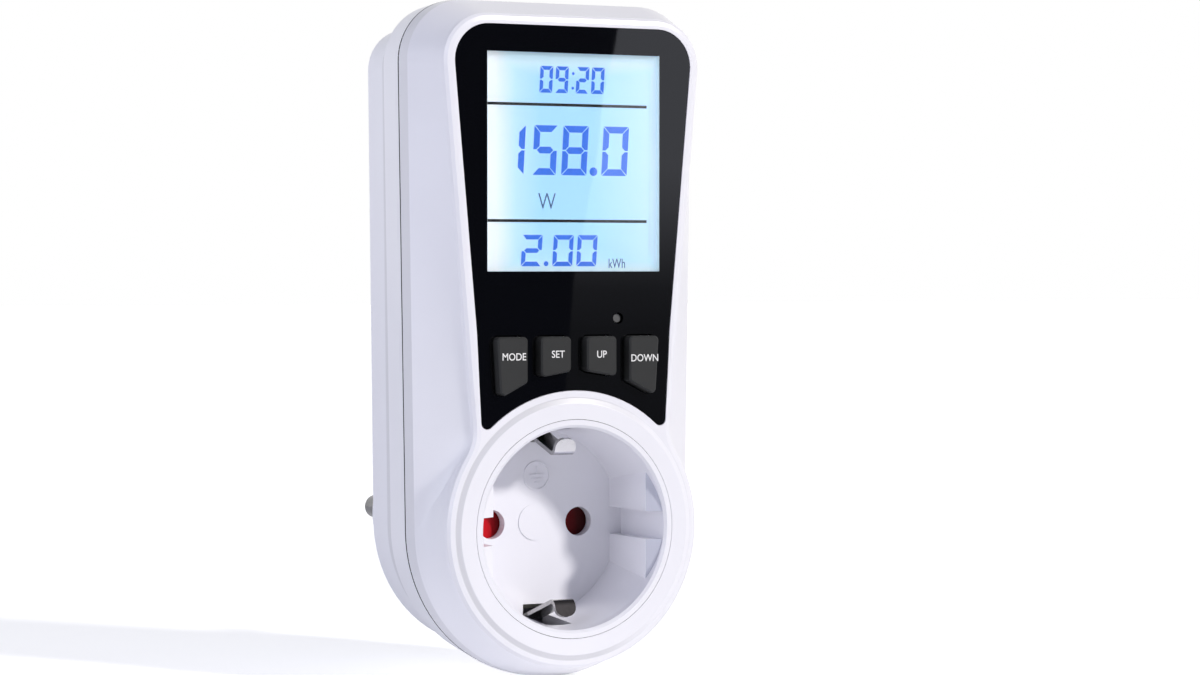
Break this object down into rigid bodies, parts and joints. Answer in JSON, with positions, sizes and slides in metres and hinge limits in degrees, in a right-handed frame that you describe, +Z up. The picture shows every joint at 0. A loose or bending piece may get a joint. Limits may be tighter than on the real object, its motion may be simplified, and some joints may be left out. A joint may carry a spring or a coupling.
{
  "type": "electricity consumption meter",
  "caption": "Plug-through household energy meter with an earthed wall plug behind, an earthed shuttered socket in front and a display above it with push keys.",
  "frame": {"origin": "centre of the plug between its two pins, in the flat rear face that meets the wall socket", "axes": "+X to the right seen from the front, +Y into the wall along the plug pins, +Z up"},
  "size_m": [0.0618, 0.0765, 0.1308],
  "materials": {
    "cover_white": "satin moulded",
    "fascia_black": "high gloss",
    "window_clear": "clear polished",
    "lcd": "polished",
    "light_guide": "frosted",
    "lamp": "clear",
    "frame_white": "matt",
    "zebra": "soft",
    "board_green": "solder mask",
    "chip_black": "matt",
    "can_metal": "satin",
    "battery": "sleeved",
    "key_grey": "fine matt",
    "switch_case": "matt",
    "plunger": "matt",
    "reset_grey": "matt",
    "shutter_red": "smooth",
    "spring_steel": "bright",
    "carrier": "matt",
    "brass": "stamped",
    "nickel": "nickel plated",
    "shunt": "satin",
    "retainer": "matt",
    "film_cap": "moulded",
    "can_sleeve": "sleeved",
    "varistor_blue": "dipped",
    "resistor": "lacquered",
    "screw_steel": "zinc plated"
  },
  "bodies": {
    "housing": {"front_cover": "cover_white", "rear_cover": "cover_white", "fascia_panel": "fascia_black", "display_window": "window_clear", "lcd_panel": "lcd", "backlight_guide": "light_guide", "backlight_led": "lamp", "lcd_frame": "frame_white", "zebra_connector": "zebra", "control_board": "board_green", "display_driver_chip": "chip_black", "quartz_crystal": "can_metal", "backup_battery": "battery", "switch_func": "switch_case", "switch_cost": "switch_case", "switch_up": "switch_case", "switch_down": "switch_case", "reset_switch": "switch_case", "socket_insert": "cover_white", "shutter_spring": "spring_steel", "contact_carrier": "carrier", "carrier_screws": "screw_steel", "live_contact": "brass", "neutral_contact": "brass", "socket_earth_strap": "nickel", "plug_earth_strap": "nickel", "plug_pin_left": "nickel", "plug_pin_right": "nickel", "pin_retainer": "retainer", "retainer_screws": "screw_steel", "live_inlet_bar": "brass", "live_outlet_bar": "brass", "neutral_bar": "brass", "current_shunt": "shunt", "power_board": "board_green", "film_capacitor": "film_cap", "electrolytic_capacitor": "can_sleeve", "varistor": "varistor_blue", "fuse_resistor": "resistor", "metering_chip": "chip_black", "board_link": "switch_case", "board_screws": "screw_steel", "housing_screws": "screw_steel"},
    "key_func": {"key_func": "key_grey", "plunger_func": "plunger"},
    "key_cost": {"key_cost": "key_grey", "plunger_cost": "plunger"},
    "key_up": {"key_up": "key_grey", "plunger_up": "plunger"},
    "key_down": {"key_down": "key_grey", "plunger_down": "plunger"},
    "reset_plunger": {"reset_plunger": "reset_grey"},
    "shutter": {"shutter": "shutter_red"}
  },
  "joints": [
    {"name": "key_func_press", "type": "slide", "parent": "housing", "child": "key_func", "axis": [0, 1, 0], "range_m": [0, 0.0004], "stiffness_N_per_m": 3000, "springref_m": -0.0003},
    {"name": "key_cost_press", "type": "slide", "parent": "housing", "child": "key_cost", "axis": [0, 1, 0], "range_m": [0, 0.0004], "stiffness_N_per_m": 3000, "springref_m": -0.0003},
    {"name": "key_up_press", "type": "slide", "parent": "housing", "child": "key_up", "axis": [0, 1, 0], "range_m": [0, 0.0004], "stiffness_N_per_m": 3000, "springref_m": -0.0003},
    {"name": "key_down_press", "type": "slide", "parent": "housing", "child": "key_down", "axis": [0, 1, 0], "range_m": [0, 0.0004], "stiffness_N_per_m": 3000, "springref_m": -0.0003},
    {"name": "reset_press", "type": "slide", "parent": "housing", "child": "reset_plunger", "axis": [0, 1, 0], "range_m": [0, 0.0003], "stiffness_N_per_m": 3000, "springref_m": -0.0003},
    {"name": "shutter_turn", "type": "hinge", "parent": "housing", "child": "shutter", "pos_m": [0, -0.0171, 0], "axis": [0, 1, 0], "range_deg": [0, 40], "stiffness_Nm_per_rad": 0.004, "springref_deg": -14.32, "deforming": ["shutter_spring"]}
  ]
}
